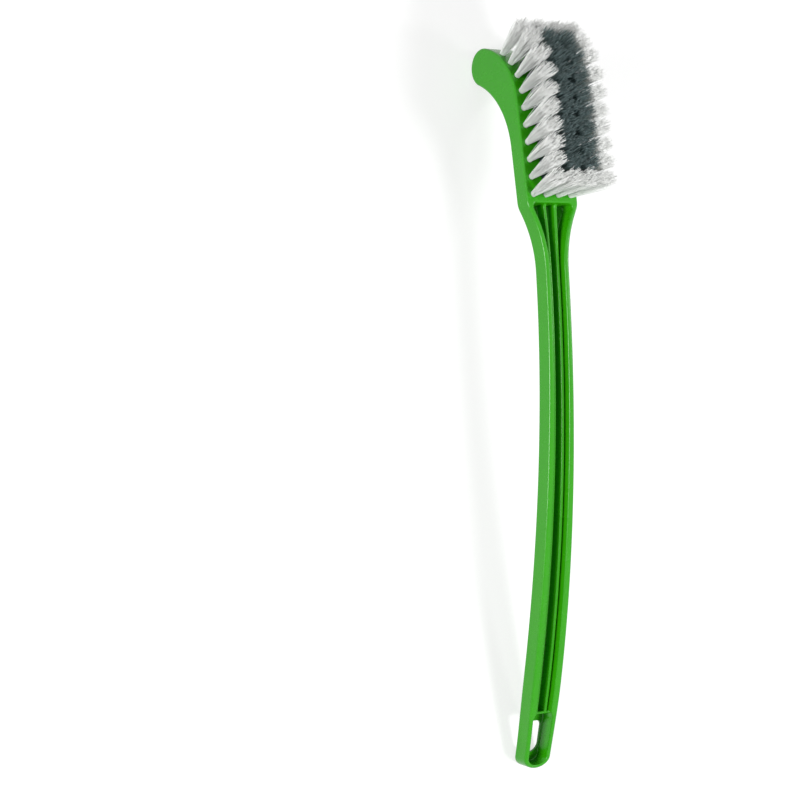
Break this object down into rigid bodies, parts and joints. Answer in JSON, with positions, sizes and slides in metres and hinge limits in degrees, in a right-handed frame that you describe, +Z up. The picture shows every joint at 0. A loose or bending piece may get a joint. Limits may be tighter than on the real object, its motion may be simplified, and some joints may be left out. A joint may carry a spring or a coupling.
{
  "type": "toilet brush",
  "caption": "One-piece green toilet brush: bowed channel handle with a hang slot, curved tufted head with a round back lobe, white and grey bristle tufts held by wire anchors.",
  "frame": {"origin": "on the floor, under the middle of the brush's box as it lies on its back, bristles up", "axes": "+X across the brush, in its plane of symmetry's normal; +Y along it, towards the head; +Z up, the way the bristles point"},
  "size_m": [0.044, 0.4514, 0.0866],
  "materials": {
    "green_plastic": "satin moulded polypropylene",
    "white_bristle": "off-white polypropylene filament",
    "grey_bristle": "slate grey polypropylene filament",
    "anchor_wire": "bright flat wire"
  },
  "bodies": {
    "root": {"handle_body": "green_plastic", "white_tufts_left": "white_bristle", "white_tufts_right": "white_bristle", "grey_tufts_left": "grey_bristle", "grey_tufts_right": "grey_bristle", "anchor_row1_col1": "anchor_wire", "anchor_row1_col2": "anchor_wire", "anchor_row1_col3": "anchor_wire", "anchor_row1_col4": "anchor_wire", "anchor_row2_col1": "anchor_wire", "anchor_row2_col2": "anchor_wire", "anchor_row2_col3": "anchor_wire", "anchor_row2_col4": "anchor_wire", "anchor_row3_col1": "anchor_wire", "anchor_row3_col2": "anchor_wire", "anchor_row3_col3": "anchor_wire", "anchor_row3_col4": "anchor_wire", "anchor_row4_col1": "anchor_wire", "anchor_row4_col2": "anchor_wire", "anchor_row4_col3": "anchor_wire", "anchor_row4_col4": "anchor_wire", "anchor_row5_col1": "anchor_wire", "anchor_row5_col2": "anchor_wire", "anchor_row5_col3": "anchor_wire", "anchor_row5_col4": "anchor_wire", "anchor_row6_col1": "anchor_wire", "anchor_row6_col2": "anchor_wire", "anchor_row6_col3": "anchor_wire", "anchor_row6_col4": "anchor_wire", "anchor_row7_col1": "anchor_wire", "anchor_row7_col2": "anchor_wire", "anchor_row7_col3": "anchor_wire", "anchor_row7_col4": "anchor_wire", "anchor_row8_col1": "anchor_wire", "anchor_row8_col2": "anchor_wire", "anchor_row8_col3": "anchor_wire", "anchor_row8_col4": "anchor_wire", "anchor_row9_col1": "anchor_wire", "anchor_row9_col2": "anchor_wire", "anchor_row9_col3": "anchor_wire", "anchor_row9_col4": "anchor_wire", "anchor_row10_col1": "anchor_wire", "anchor_row10_col2": "anchor_wire", "anchor_row10_col3": "anchor_wire", "anchor_row10_col4": "anchor_wire"}
  },
  "joints": []
}
